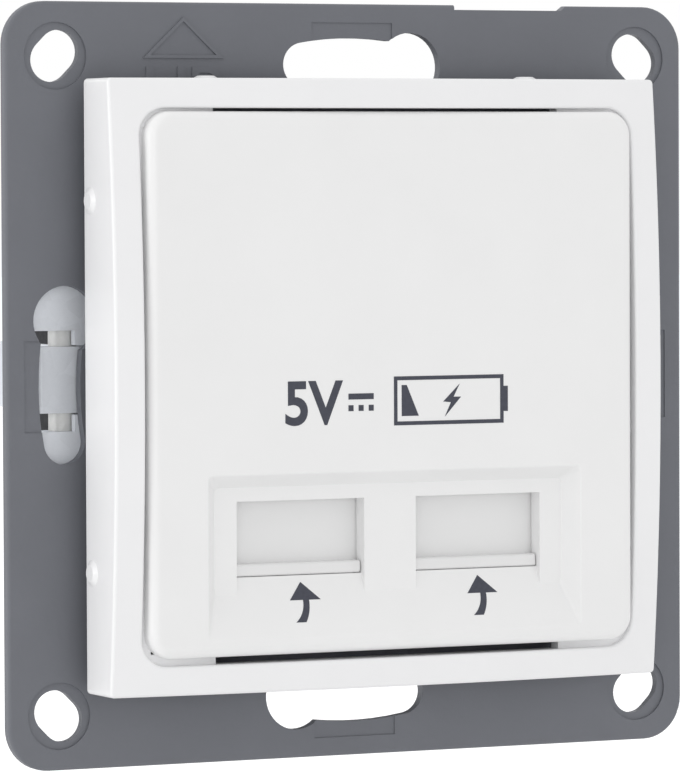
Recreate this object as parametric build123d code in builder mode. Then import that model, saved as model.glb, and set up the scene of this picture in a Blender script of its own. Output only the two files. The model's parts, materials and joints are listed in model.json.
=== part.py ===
"""Twin USB charging socket for a flush wall box, made from its separate pieces, in millimetres.

X points right, Y into the wall and Z up. The origin is the middle of the support plate on the wall
plane. A height is a distance from the wall plane towards the room, so a height h lies at Y = -h, and
what stands inside the wall box has a negative height.
"""
import os
from math import sqrt

from build123d import *

os.makedirs("parts", exist_ok=True)

# Clearances
running_gap = 0.05  # pin, rivet or screw in its hole, on the radius
slide_gap = 0.15  # between flat faces that slide or drop in
hole_gap = 0.3  # screw shank in a plain hole, on the radius
rest_gap = 0.03  # under a shutter that rests on its stop

# Support plate
plate_margin = 7.0
plate_corner = 4.0
plate_thick = 1.0
plate_edge = 0.3
corner_hole_inset = 5.0
corner_hole_length = 5.1
corner_hole_width = 4.0
corner_hole_turn = 45
corner_dimple_radius = 3.1
corner_dimple_depth = 0.2
corner_pad_radius = 3.9
corner_pad_wall = 0.8
box_screw_pitch = 60.0
slot_width = 4.1
slot_big_radius = 3.2
slot_start_angle = 78.4
slot_sweep = 21.4
slot_recess_length = 8.4
slot_recess_span = 3.5
slot_recess_depth = 0.12
opening_margin = 0.65
opening_corner = 2.0
notch_left = 10.8
notch_length = 12.0
notch_depth = 0.45
notch_slope = 0.6
triangle_base = 8.2
triangle_height = 3.8
triangle_x = -17.4
triangle_drop = 5.15
triangle_line = 0.3
triangle_rise = 0.15

# Inner frame
frame_side_border = 2.85
frame_end_border = 2.75
frame_corner = 0.4
frame_float = 1.9
frame_corner_rise = 7.2
frame_crown_radius = 265.0
frame_skirt = 1.5
frame_edge = 0.3
frame_side_gap = 0.45
frame_end_gap = 0.5
frame_opening_corner = 2.6
frame_opening_edge = 0.25
ledge_rise = 7.3
ledge_thick = 1.0
ledge_reach = 1.1
ledge_gap_width = 35.6
nub_radius = 1.25
nub_rise = 0.28
nub_taper = 60.0
nub_height = 4.95
nub_side_pitch = 34.0
nub_end_pitch = 33.2
leg_inset = 5.25
leg_width = 4.0
leg_thick = 1.5
leg_tongue_width = 2.8
leg_hook_reach = 0.7

# Centre plate
face_width = 49.9
face_height = 49.8
face_lift = 0.2
face_corner = 2.3
face_edge = 0.9
face_rise = 9.15
face_thick = 1.6
face_skirt = 1.4
scoop_depth = 1.6
scoop_width = 38.6
scoop_height = 15.0
scoop_foot = 1.6
scoop_side_run = 1.3
scoop_top_run = 1.2
scoop_ramp_run = 3.9
scoop_corner = 0.6
scoop_edge = 0.3
web_thick = 1.65
port_pitch = 18.4
port_width = 13.05
port_height = 7.0
port_foot = 5.5
backing_margin = 1.3
latch_width = 10.0
latch_thick = 1.2
latch_hook_height = 1.0

# Shutters and their springs
shutter_thick = 1.1
shutter_overlap = 0.78
shutter_cover = 6.1
shutter_seat_width = 4.0
shutter_seat_height = 1.5
shutter_seat_depth = 1.55
shutter_pin_radius = 0.6
shutter_pin_length = 2.5
lip_height = 1.17
lip_rise = 1.15
lip_edge = 0.3
guide_wall = 1.15
spring_radius = 1.1
spring_wire = 0.35
spring_length = 14.0
spring_turns = 8
spring_stop_width = 5.0
spring_stop_thick = 1.2

# Front chassis
base_end_gap = 0.65
base_thick = 1.2
base_corner = 1.5
deck_margin = 1.0
deck_top_inset = 5.1
deck_foot = 1.6
deck_thick = 1.5
catch_reach = 0.8
catch_height = 1.4

# USB receptacles
shell_width = 13.1
shell_height = 5.7
shell_length = 13.1
shell_wall = 0.35
shell_corner = 0.6
shell_drop = 0.5
mouth_set_back = 0.2
tongue_width = 11.1
tongue_thick = 1.84
tongue_drop = 0.72
tongue_set_back = 0.9
tongue_block = 4.0
contact_width = 1.0
contact_thick = 0.25
contact_length = 7.4
contact_offsets = (-3.5, -1.0, 1.0, 3.5)

# Rear housing and boards
housing_end_margin = 4.9
housing_corner = 6.0
housing_wall = 1.5
housing_edge = 0.75
post_inset = 2.8
post_radius = 2.5
post_length = 7.3
board_thick = 1.6
board_space = 13.4
board_gap = 0.3
rib_width = 6.0
rib_thick = 1.2
pillar_side_inset = 3.0
pillar_end_inset = 4.0
pillar_radius = 2.0
terminal_room = 5.9

# Screws and rivets
chassis_screw_radius = 1.2
chassis_head_radius = 2.1
chassis_head_height = 1.4
chassis_screw_bite = 6.5
drive_width = 0.6
drive_depth = 0.6
drive_length = 2.7
rivet_radius = 1.0
rivet_head_radius = 1.8
rivet_head_height = 0.7
rivet_reach = 2.9
rivet_inset = 1.9

# Claws, on the left; the right ones are mirrored
bracket_thick = 0.8
bracket_corner = 0.8
bracket_reach = 2.7
bracket_lip = 1.0
bracket_top = 10.2
bracket_bottom = -8.2
window_outer_gap = 4.25
window_inner_set = 0.3
window_top = 5.1
window_bottom = -4.2
pin_reach = 4.35
pin_depth = 1.45
pin_radius = 1.3
pin_head_radius = 1.4
pin_head_height = 0.7
tab_width = 4.4
tab_wall = 1.9
claw_top = 3.6
claw_bottom = -2.5
knuckle_outer_reach = 3.35
knuckle_inner_reach = 1.9
knuckle_depth = 3.7
knuckle_corner = 0.6
knuckle_swing = 0.4
claw_thick = 1.0
claw_length = 18.5
claw_toe = 3.0
claw_leg_set = 1.35
tooth_depth = 0.9
wing_depth = 3.4
wing_overhang = 0.25
claw_head_gap = 0.25
claw_screw_radius = 1.45
claw_head_radius = 2.5
claw_head_height = 1.7
claw_head_edge = 0.4
claw_screw_stand = 2.3

# Mains terminals
terminal_x = 8.0
terminal_width = 7.0
terminal_height = 8.2
terminal_set = 2.1
terminal_end_gap = 0.1
wire_radius = 1.5
wire_rise = 2.4
wire_depth = 5.0
wire_guide_radius = 2.0
terminal_screw_radius = 1.45
terminal_screw_set = 0.5
terminal_access_radius = 2.4

# Parts on the boards, placed from the main board's nearest edges
transformer_inset = (8.6, 11.7)
core_width = 15.0
core_height = 13.0
core_thick = 4.0
core_leg = 1.9
bobbin_wall = 0.6
bobbin_flange = 1.0
bobbin_base = 1.8
winding_side = 7.8
input_can_radius = 4.0
input_can_length = 12.0
input_can_inset = 4.9
input_can_drops = (15.4, 6.7)
output_can_radius = 3.15
output_can_length = 10.0
output_can_insets = (4.5, 12.0)
output_can_drop = 28.6
can_groove = 0.35
choke_radius = 3.0
choke_length = 9.0
choke_flange = 1.1
choke_waist = 0.7
choke_inset = (12.5, 24.7)
fuse_radius = 1.6
fuse_length = 9.0
fuse_inset = (11.4, 10.0)
lead_radius = 0.35
lead_length = 1.6
bridge_size = (6.4, 4.8, 2.6)
bridge_inset = (5.0, 24.2)
disc_radius = 4.0
disc_thick = 4.0
disc_edge = 1.0
disc_inset = (6.0, 22.2)
disc_lead_pitch = 5.0
controller_size = (5.0, 4.0, 1.7)
controller_inset = (6.0, 5.2)
port_chip_size = (4.0, 4.0, 1.0)
port_chip_place = (0.0, 4.0)
chip_bevel = 0.25
link_pin = 0.64
link_pitch = 2.54
link_count = 4
link_header_height = 2.5
link_header_length = 8.0
link_lift = 3.7

# Heights that follow
plate_back = bracket_thick
plate_front = plate_back + plate_thick
frame_rear = plate_front + frame_float
frame_corner_front = plate_front + frame_corner_rise
ledge_top = plate_front + ledge_rise
ledge_bottom = ledge_top - ledge_thick
face_front = plate_front + face_rise
face_rear = face_front - face_thick
scoop_floor = face_front - scoop_depth
backing_rear = scoop_floor - web_thick
shutter_front = backing_rear - slide_gap
shutter_rear = shutter_front - shutter_thick
deck_front = shutter_rear - slide_gap
deck_rear = deck_front - deck_thick
base_front = plate_front + base_thick
guide_rear = deck_front + slide_gap
mouth = deck_front - mouth_set_back
usb_board_front = mouth - shell_length
usb_board_rear = usb_board_front - board_thick
main_board_front = usb_board_rear - board_space
main_board_rear = main_board_front - board_thick
housing_floor = main_board_rear - terminal_room
housing_rear = housing_floor - housing_wall
catch_top = deck_front - slide_gap
catch_bottom = catch_top - catch_height
latch_hook_top = catch_bottom - slide_gap
latch_tip = latch_hook_top - latch_hook_height

# Widths and places that follow
frame_opening_width = face_width + 2 * frame_side_gap
frame_opening_height = face_height + 2 * frame_end_gap
frame_width = frame_opening_width + 2 * frame_side_border
frame_height = frame_opening_height + 2 * frame_end_border
skirt_width = frame_width - 2 * frame_skirt
skirt_height = frame_height - 2 * frame_skirt
leg_pitch = frame_width - 2 * leg_inset
leg_z = skirt_height / 2 - leg_thick / 2
plate_side = frame_width + 2 * plate_margin
corner_hole_pitch = plate_side - 2 * corner_hole_inset
triangle_z = plate_side / 2 - triangle_drop
scoop_bottom = face_lift - face_height / 2 + scoop_foot
scoop_top = scoop_bottom + scoop_height
port_bottom = scoop_bottom + port_foot
port_top = port_bottom + port_height
lip_width = port_width - 2 * slide_gap
lip_bottom = port_bottom + rest_gap
shutter_top = port_top + shutter_cover
shutter_width = port_width + 2 * shutter_overlap
channel_width = shutter_width + 2 * slide_gap
guide_width = port_pitch + channel_width + 2 * guide_wall
guide_bottom = port_bottom - guide_wall
backing_top = scoop_top + backing_margin
backing_bottom = scoop_bottom + backing_margin
spring_top = shutter_top + spring_length
spring_height = (shutter_rear + shutter_front + shutter_seat_depth) / 2
shell_z = (port_top + port_bottom) / 2 - shell_drop
opening_width = port_pitch + shell_width + 2 * opening_margin
opening_height = 2 * (shell_height / 2 - shell_z + opening_margin)
claw_screw_x = skirt_width / 2 - claw_head_radius - claw_head_gap
claw_screw_z = (claw_top + claw_bottom) / 2
pin_x = claw_screw_x + pin_reach
window_outer = pin_x + window_outer_gap
window_inner = pin_x - window_inner_set
knuckle_outer = pin_x + knuckle_outer_reach
knuckle_inner = pin_x - knuckle_inner_reach
swing_inner = knuckle_inner - knuckle_swing
bracket_outer = window_outer + bracket_lip
bracket_inner = claw_screw_x - bracket_reach
claw_leg_x = pin_x - claw_leg_set
wing_tip = claw_screw_x - claw_screw_radius - wing_overhang
rivet_x = bracket_inner + rivet_reach
rivet_zs = (bracket_top - rivet_inset, bracket_bottom + rivet_inset)
housing_width = 2 * (bracket_inner - hole_gap)
housing_height = opening_height + 2 * housing_end_margin
housing_inner_width = housing_width - 2 * housing_wall
housing_inner_height = housing_height - 2 * housing_wall
post_pitch_x = housing_width - 2 * post_inset
post_pitch_z = housing_height - 2 * post_inset
pillar_pitch_x = housing_inner_width - 2 * pillar_side_inset
pillar_pitch_z = housing_inner_height - 2 * pillar_end_inset
base_width = post_pitch_x + 2 * chassis_head_radius
base_height = skirt_height - 2 * base_end_gap
deck_width = opening_width + 2 * deck_margin
deck_top = face_lift + face_height / 2 - deck_top_inset
deck_bottom = port_bottom - deck_foot
board_width = housing_inner_width - 2 * rib_thick - 2 * board_gap
board_height = housing_inner_height - 2 * board_gap
board_right = board_width / 2
board_top = board_height / 2
transformer_x = transformer_inset[0] - board_right
transformer_z = board_top - transformer_inset[1]
disc_place = (disc_inset[0] - board_right, board_top - disc_inset[1])
choke_place = (board_right - choke_inset[0], board_top - choke_inset[1])
fuse_place = (board_right - fuse_inset[0], board_top - fuse_inset[1])
bridge_place = (board_right - bridge_inset[0], board_top - bridge_inset[1])
controller_place = (board_right - controller_inset[0], controller_inset[1] - board_top)
link_z = link_lift - board_top
terminal_top = housing_inner_height / 2 - terminal_set
terminal_bottom = terminal_top - terminal_height
terminal_screw_top = housing_inner_height / 2 - terminal_screw_set
terminal_depth = (main_board_rear + housing_floor) / 2
wire_z = terminal_bottom + wire_rise
wire_mouth = housing_floor + terminal_end_gap


def at_height(height):
    """Plane parallel to the wall, drawn as seen from the room."""
    return Plane.XZ.offset(height)


def save(piece, name):
    piece.label = name
    export_step(piece, f"parts/{name}.step")


def mirrored(piece):
    """The same piece for the other side of the socket."""
    with BuildPart() as other:
        mirror(piece, about=Plane.YZ)
    return other.part


def plate_slot(turn):
    """Keyhole slot on the box screws' circle, a quarter turn apart from its neighbours."""
    start = slot_start_angle + turn
    arc = CenterArc((0, 0), box_screw_pitch / 2, start, slot_sweep)
    with BuildSketch() as slot:
        SlotArc(arc, slot_width)
        with Locations(arc @ 0):
            Circle(slot_big_radius)
    return slot.sketch


def make_support_plate():
    half = plate_side / 2
    corner = corner_hole_pitch / 2
    corners = (
        (-corner, corner, corner_hole_turn),
        (corner, corner, -corner_hole_turn),
        (corner, -corner, corner_hole_turn),
        (-corner, -corner, -corner_hole_turn),
    )
    slots = [plate_slot(turn) for turn in (0, 90, 180, 270)]
    recess_middle = (box_screw_pitch + slot_recess_span) / 2
    with BuildPart() as plate:
        with BuildSketch(at_height(plate_back)):
            RectangleRounded(plate_side, plate_side, plate_corner)
        extrude(amount=plate_thick)
        fillet(plate.faces().sort_by(Axis.Y)[0].edges(), plate_edge)
        with BuildSketch(at_height(0)):
            with GridLocations(corner_hole_pitch, corner_hole_pitch, 2, 2):
                Circle(corner_pad_radius)
                Circle(corner_pad_radius - corner_pad_wall, mode=Mode.SUBTRACT)
        extrude(amount=plate_back)
        with BuildSketch(at_height(plate_front - corner_dimple_depth)):
            with GridLocations(corner_hole_pitch, corner_hole_pitch, 2, 2):
                Circle(corner_dimple_radius)
        extrude(amount=corner_dimple_depth, mode=Mode.SUBTRACT)
        with BuildSketch(at_height(plate_front - slot_recess_depth)):
            with PolarLocations(recess_middle, 4):
                Rectangle(slot_recess_span, slot_recess_length)
        extrude(amount=slot_recess_depth, mode=Mode.SUBTRACT)
        with BuildSketch(at_height(plate_front)):
            with Locations((triangle_x, triangle_z)):
                Polygon((-triangle_base / 2, 0), (triangle_base / 2, 0), (0, triangle_height), align=None)
            offset(amount=-triangle_line, kind=Kind.INTERSECTION, mode=Mode.SUBTRACT)
        extrude(amount=triangle_rise)
        with BuildSketch(at_height(0)):
            add(slots)
            for x, z, turn in corners:
                with Locations((x, z)):
                    SlotOverall(corner_hole_length, corner_hole_width, rotation=turn)
            RectangleRounded(opening_width, opening_height, opening_corner)
            with GridLocations(post_pitch_x, post_pitch_z, 2, 2):
                Circle(chassis_screw_radius + hole_gap)
            with GridLocations(2 * claw_screw_x, 0, 2, 1):
                with Locations((0, claw_screw_z)):
                    Circle(claw_screw_radius + hole_gap)
            for rivet_z in rivet_zs:
                with Locations((-rivet_x, rivet_z), (rivet_x, rivet_z)):
                    Circle(rivet_radius + running_gap)
            with GridLocations(leg_pitch, 2 * leg_z, 2, 2):
                Rectangle(leg_tongue_width + 2 * slide_gap, leg_thick + 2 * slide_gap)
            Polygon(
                (notch_left, half),
                (notch_left, half - notch_depth),
                (notch_left + notch_length - notch_slope, half - notch_depth),
                (notch_left + notch_length, half),
                align=None,
            )
        extrude(amount=plate_front, mode=Mode.SUBTRACT)
    return plate.part


def make_inner_frame():
    corner_reach = (frame_width**2 + frame_height**2) / 4
    crown_centre = frame_corner_front - sqrt(frame_crown_radius**2 - corner_reach)
    crown_top = crown_centre + frame_crown_radius
    with BuildPart() as frame:
        with BuildSketch(at_height(frame_rear)):
            RectangleRounded(frame_width, frame_height, frame_corner)
        extrude(amount=crown_top - frame_rear)
        with Locations((0, -crown_centre, 0)):
            Sphere(frame_crown_radius, mode=Mode.INTERSECT)
        fillet(frame.faces().sort_by(Axis.Y)[0].edges(), frame_edge)
        with BuildSketch(at_height(ledge_top)):
            RectangleRounded(frame_opening_width, frame_opening_height, frame_opening_corner)
        extrude(amount=crown_top - ledge_top, mode=Mode.SUBTRACT)
        fillet(frame.faces().sort_by(Axis.Y)[0].inner_wires()[0].edges(), frame_opening_edge)
        with BuildSketch(at_height(ledge_bottom)):
            Rectangle(frame_opening_width - 2 * ledge_reach, frame_opening_height - 2 * ledge_reach)
            with GridLocations(0, frame_opening_height - ledge_reach, 1, 2):
                Rectangle(ledge_gap_width, ledge_reach)
        extrude(amount=ledge_thick, mode=Mode.SUBTRACT)
        with BuildSketch(at_height(frame_rear)):
            Rectangle(skirt_width, skirt_height)
        extrude(amount=ledge_bottom - frame_rear, mode=Mode.SUBTRACT)
        for side in (-1, 1):
            wall = Plane(origin=(side * frame_width / 2, 0, 0), x_dir=(0, -1, 0), z_dir=(side, 0, 0))
            with BuildSketch(wall):
                with Locations((nub_height, -nub_side_pitch / 2), (nub_height, nub_side_pitch / 2)):
                    Circle(nub_radius)
            extrude(amount=nub_rise, taper=nub_taper)
            end = Plane(origin=(0, 0, side * frame_height / 2), x_dir=(1, 0, 0), z_dir=(0, 0, side))
            with BuildSketch(end):
                with GridLocations(nub_end_pitch, 0, 2, 1):
                    with Locations((0, -side * nub_height)):
                        Circle(nub_radius)
            extrude(amount=nub_rise, taper=nub_taper)
        with BuildSketch(at_height(plate_front)):
            with GridLocations(leg_pitch, 2 * leg_z, 2, 2):
                Rectangle(leg_width, leg_thick)
        extrude(amount=ledge_bottom - plate_front)
        with BuildSketch(at_height(0)):
            with GridLocations(leg_pitch, 2 * leg_z, 2, 2):
                Rectangle(leg_tongue_width, leg_thick)
        extrude(amount=plate_front)
        with BuildSketch(at_height(0)):
            with GridLocations(leg_pitch, 2 * leg_z + leg_thick + leg_hook_reach, 2, 2):
                Rectangle(leg_tongue_width, leg_hook_reach)
        extrude(amount=plate_back - running_gap)
    return frame.part


def make_scoop(floor_top, floor_bottom):
    """Room of the scoop: a flat floor with a slope to the front on each side."""
    half = scoop_width / 2
    with BuildPart() as scoop:
        with BuildSketch(Plane.YZ.offset(-half)):
            Polygon(
                (-face_front, scoop_top),
                (-scoop_floor, floor_top),
                (-scoop_floor, floor_bottom),
                (-face_front, scoop_bottom),
                align=None,
            )
        extrude(amount=scoop_width)
        with BuildSketch(Plane.XY.offset(scoop_bottom)):
            Polygon(
                (-half, -face_front),
                (-half + scoop_side_run, -scoop_floor),
                (half - scoop_side_run, -scoop_floor),
                (half, -face_front),
                align=None,
            )
        extrude(amount=scoop_top - scoop_bottom, mode=Mode.INTERSECT)
        front_edges = scoop.faces().sort_by(Axis.Y)[0].edges()
        floor_edges = scoop.faces().sort_by(Axis.Y)[-1].edges()
        fillet([edge for edge in scoop.edges() if edge not in front_edges + floor_edges], scoop_corner)
    return scoop.part


def make_centre_plate():
    floor_top = scoop_top - scoop_top_run
    floor_bottom = scoop_bottom + scoop_ramp_run
    ramp_end = scoop_floor - (port_bottom - floor_bottom) * scoop_depth / scoop_ramp_run
    with BuildPart() as plate:
        with BuildSketch(at_height(ledge_top)):
            with Locations((0, face_lift)):
                RectangleRounded(face_width, face_height, face_corner)
        extrude(amount=face_front - ledge_top)
        fillet(plate.faces().sort_by(Axis.Y)[0].edges(), face_edge)
        with BuildSketch(at_height(ledge_top)):
            with Locations((0, face_lift)):
                RectangleRounded(
                    face_width - 2 * face_skirt, face_height - 2 * face_skirt, face_corner - face_skirt
                )
        extrude(amount=face_rear - ledge_top, mode=Mode.SUBTRACT)
        with BuildSketch(at_height(backing_rear)):
            with Locations((0, (backing_top + backing_bottom) / 2)):
                Rectangle(scoop_width + 2 * backing_margin, backing_top - backing_bottom)
        extrude(amount=face_rear - backing_rear)
        add(make_scoop(floor_top, floor_bottom), mode=Mode.SUBTRACT)
        fillet(plate.faces().sort_by(Axis.Y)[0].inner_wires()[0].edges(), scoop_edge)
        for port_x in (-port_pitch / 2, port_pitch / 2):
            with BuildSketch(at_height(backing_rear)):
                with Locations((port_x, (port_top + port_bottom) / 2)):
                    Rectangle(port_width, port_top - port_bottom)
            extrude(amount=web_thick, mode=Mode.SUBTRACT)
            with BuildSketch(Plane.YZ.offset(port_x - port_width / 2)):
                Polygon(
                    (-scoop_floor, floor_bottom),
                    (-ramp_end, port_bottom),
                    (-scoop_floor, port_bottom),
                    align=None,
                )
            extrude(amount=port_width, mode=Mode.SUBTRACT)
        with BuildSketch(at_height(guide_rear)):
            with Locations((0, (backing_top + guide_bottom) / 2)):
                Rectangle(guide_width, backing_top - guide_bottom)
            with GridLocations(port_pitch, 0, 2, 1):
                with Locations((0, (backing_top + port_bottom) / 2)):
                    Rectangle(channel_width, backing_top - port_bottom, mode=Mode.SUBTRACT)
        extrude(amount=backing_rear - guide_rear)
        with BuildSketch(at_height(guide_rear)):
            with GridLocations(port_pitch, 0, 2, 1):
                with Locations((0, spring_top + spring_stop_thick / 2)):
                    Rectangle(spring_stop_width, spring_stop_thick)
        extrude(amount=face_rear - guide_rear)
        for edge, side in ((deck_top, 1), (deck_bottom, -1)):
            hook_z = edge + side * (catch_reach / 2 + slide_gap)
            tongue_z = edge + side * (catch_reach + slide_gap + latch_thick / 2)
            with BuildSketch(at_height(latch_tip)):
                with Locations((0, tongue_z)):
                    Rectangle(latch_width, latch_thick)
            extrude(amount=backing_rear - latch_tip)
            with BuildSketch(at_height(backing_rear)):
                with Locations((0, tongue_z)):
                    Rectangle(latch_width, latch_thick)
            extrude(amount=face_rear - backing_rear)
            with BuildSketch(at_height(latch_tip)):
                with Locations((0, hook_z)):
                    Rectangle(latch_width, catch_reach)
            extrude(amount=latch_hook_height)
    return plate.part


def make_shutter(port_x):
    with BuildPart() as shutter:
        with BuildSketch(at_height(shutter_rear)):
            with Locations((port_x, (shutter_top + lip_bottom) / 2)):
                Rectangle(shutter_width, shutter_top - lip_bottom)
        extrude(amount=shutter_thick)
        with BuildSketch(at_height(shutter_front)):
            with Locations((port_x, lip_bottom + lip_height / 2)):
                Rectangle(lip_width, lip_height)
        extrude(amount=lip_rise)
        fillet(shutter.faces().sort_by(Axis.Y)[0].edges().filter_by(Axis.X), lip_edge)
        with BuildSketch(at_height(shutter_front)):
            with Locations((port_x, shutter_top - shutter_seat_height / 2)):
                Rectangle(shutter_seat_width, shutter_seat_height)
        extrude(amount=shutter_seat_depth)
        with BuildSketch(Plane.XY.offset(shutter_top)):
            with Locations((port_x, -spring_height)):
                Circle(shutter_pin_radius)
        extrude(amount=shutter_pin_length)
    return shutter.part


def make_shutter_spring(port_x):
    coil_height = spring_length - spring_wire
    foot = shutter_top + spring_wire / 2
    with BuildPart() as spring:
        with BuildLine() as coil:
            middle = (port_x, -spring_height, foot)
            Helix(coil_height / spring_turns, coil_height, spring_radius, center=middle)
        with BuildSketch(Plane(origin=coil.line @ 0, z_dir=coil.line % 0)):
            Circle(spring_wire / 2)
        sweep(is_frenet=True)
    return spring.part


def make_front_chassis():
    deck_height = deck_top - deck_bottom
    deck_middle = (deck_top + deck_bottom) / 2
    with BuildPart() as chassis:
        with BuildSketch(at_height(plate_front)):
            RectangleRounded(base_width, base_height, base_corner)
        extrude(amount=base_thick)
        with BuildSketch(at_height(base_front)):
            with Locations((0, deck_middle)):
                Rectangle(deck_width, deck_height)
            with GridLocations(post_pitch_x, post_pitch_z, 2, 2):
                Circle(chassis_head_radius + hole_gap, mode=Mode.SUBTRACT)
        extrude(amount=deck_front - base_front)
        with BuildSketch(at_height(plate_front)):
            Rectangle(opening_width - 2 * hole_gap, opening_height - 2 * hole_gap)
        extrude(amount=deck_rear - plate_front, mode=Mode.SUBTRACT)
        with BuildSketch(at_height(deck_rear)):
            with GridLocations(port_pitch, 0, 2, 1):
                with Locations((0, shell_z)):
                    Rectangle(shell_width + 2 * slide_gap, shell_height + 2 * slide_gap)
        extrude(amount=deck_thick, mode=Mode.SUBTRACT)
        with BuildSketch(at_height(plate_front)):
            with GridLocations(post_pitch_x, post_pitch_z, 2, 2):
                Circle(chassis_screw_radius + hole_gap)
        extrude(amount=base_thick, mode=Mode.SUBTRACT)
        for edge, side in ((deck_top, 1), (deck_bottom, -1)):
            with BuildSketch(at_height(catch_bottom)):
                with Locations((0, edge + side * catch_reach / 2)):
                    Rectangle(latch_width, catch_reach)
            extrude(amount=catch_height)
    return chassis.part


def make_rear_housing():
    inner_corner = housing_corner - housing_wall
    with BuildPart() as housing:
        with BuildSketch(at_height(housing_rear)):
            RectangleRounded(housing_width, housing_height, housing_corner)
        extrude(amount=plate_back - housing_rear)
        fillet(housing.faces().sort_by(Axis.Y)[-1].edges(), housing_edge)
        with BuildSketch(at_height(housing_floor)):
            RectangleRounded(housing_inner_width, housing_inner_height, inner_corner)
        extrude(amount=plate_back - housing_floor, mode=Mode.SUBTRACT)
        with BuildSketch(at_height(plate_back - post_length)):
            with GridLocations(post_pitch_x, post_pitch_z, 2, 2):
                Circle(post_radius)
        extrude(amount=post_length)
        with BuildSketch(at_height(plate_back - chassis_screw_bite)):
            with GridLocations(post_pitch_x, post_pitch_z, 2, 2):
                Circle(chassis_screw_radius + running_gap)
        extrude(amount=chassis_screw_bite, mode=Mode.SUBTRACT)
        with BuildSketch(at_height(housing_floor)):
            with GridLocations(housing_inner_width - rib_thick, 0, 2, 1):
                Rectangle(rib_thick, rib_width)
        extrude(amount=usb_board_rear - housing_floor)
        with BuildSketch(at_height(housing_floor)):
            with GridLocations(pillar_pitch_x, pillar_pitch_z, 2, 2):
                Circle(pillar_radius)
        extrude(amount=main_board_rear - housing_floor)
        with BuildSketch(at_height(housing_rear)):
            with Locations((-terminal_x, wire_z), (terminal_x, wire_z)):
                Circle(wire_guide_radius)
        extrude(amount=housing_wall, mode=Mode.SUBTRACT)
        with BuildSketch(Plane.XY.offset(housing_inner_height / 2)):
            with Locations((-terminal_x, -terminal_depth), (terminal_x, -terminal_depth)):
                Circle(terminal_access_radius)
        extrude(amount=housing_wall, mode=Mode.SUBTRACT)
    return housing.part


def make_chassis_screws():
    with BuildPart() as screws:
        with BuildSketch(at_height(plate_back - chassis_screw_bite + hole_gap)):
            with GridLocations(post_pitch_x, post_pitch_z, 2, 2):
                Circle(chassis_screw_radius)
        extrude(amount=base_front - plate_back + chassis_screw_bite - hole_gap)
        with BuildSketch(at_height(base_front)):
            with GridLocations(post_pitch_x, post_pitch_z, 2, 2):
                Circle(chassis_head_radius)
        extrude(amount=chassis_head_height)
        with BuildSketch(at_height(base_front + chassis_head_height - drive_depth)):
            with GridLocations(post_pitch_x, post_pitch_z, 2, 2):
                Rectangle(drive_length, drive_width)
                Rectangle(drive_width, drive_length)
        extrude(amount=drive_depth, mode=Mode.SUBTRACT)
    return screws.part


def make_usb_shell(port_x):
    with BuildPart() as shell:
        with BuildSketch(at_height(usb_board_front)):
            with Locations((port_x, shell_z)):
                RectangleRounded(shell_width, shell_height, shell_corner)
                RectangleRounded(
                    shell_width - 2 * shell_wall,
                    shell_height - 2 * shell_wall,
                    shell_corner - shell_wall,
                    mode=Mode.SUBTRACT,
                )
        extrude(amount=shell_length)
    return shell.part


def tongue_bottom():
    return shell_z + shell_height / 2 - shell_wall - tongue_drop - tongue_thick


def make_usb_tongue(port_x):
    block_width = shell_width - 2 * shell_wall - 2 * slide_gap
    block_height = shell_height - 2 * shell_wall - 2 * slide_gap
    with BuildPart() as tongue:
        with BuildSketch(at_height(usb_board_front)):
            with Locations((port_x, shell_z)):
                Rectangle(block_width, block_height)
        extrude(amount=tongue_block)
        with BuildSketch(at_height(usb_board_front + tongue_block)):
            with Locations((port_x, tongue_bottom() + tongue_thick / 2)):
                Rectangle(tongue_width, tongue_thick)
        extrude(amount=shell_length - tongue_block - tongue_set_back)
    return tongue.part


def make_usb_contacts(port_x):
    with BuildPart() as contacts:
        with BuildSketch(at_height(usb_board_front + tongue_block)):
            for offset_x in contact_offsets:
                with Locations((port_x + offset_x, tongue_bottom() - contact_thick / 2)):
                    Rectangle(contact_width, contact_thick)
        extrude(amount=contact_length)
    return contacts.part


def make_board(front, width, notched):
    """Circuit board; the front one is notched at its corners to pass the housing's screw posts."""
    with BuildPart() as board:
        with BuildSketch(at_height(front - board_thick)):
            RectangleRounded(width, board_height, housing_corner - housing_wall - board_gap)
            if notched:
                with GridLocations(post_pitch_x, post_pitch_z, 2, 2):
                    Circle(post_radius + hole_gap, mode=Mode.SUBTRACT)
        extrude(amount=board_thick)
    return board.part


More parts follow.
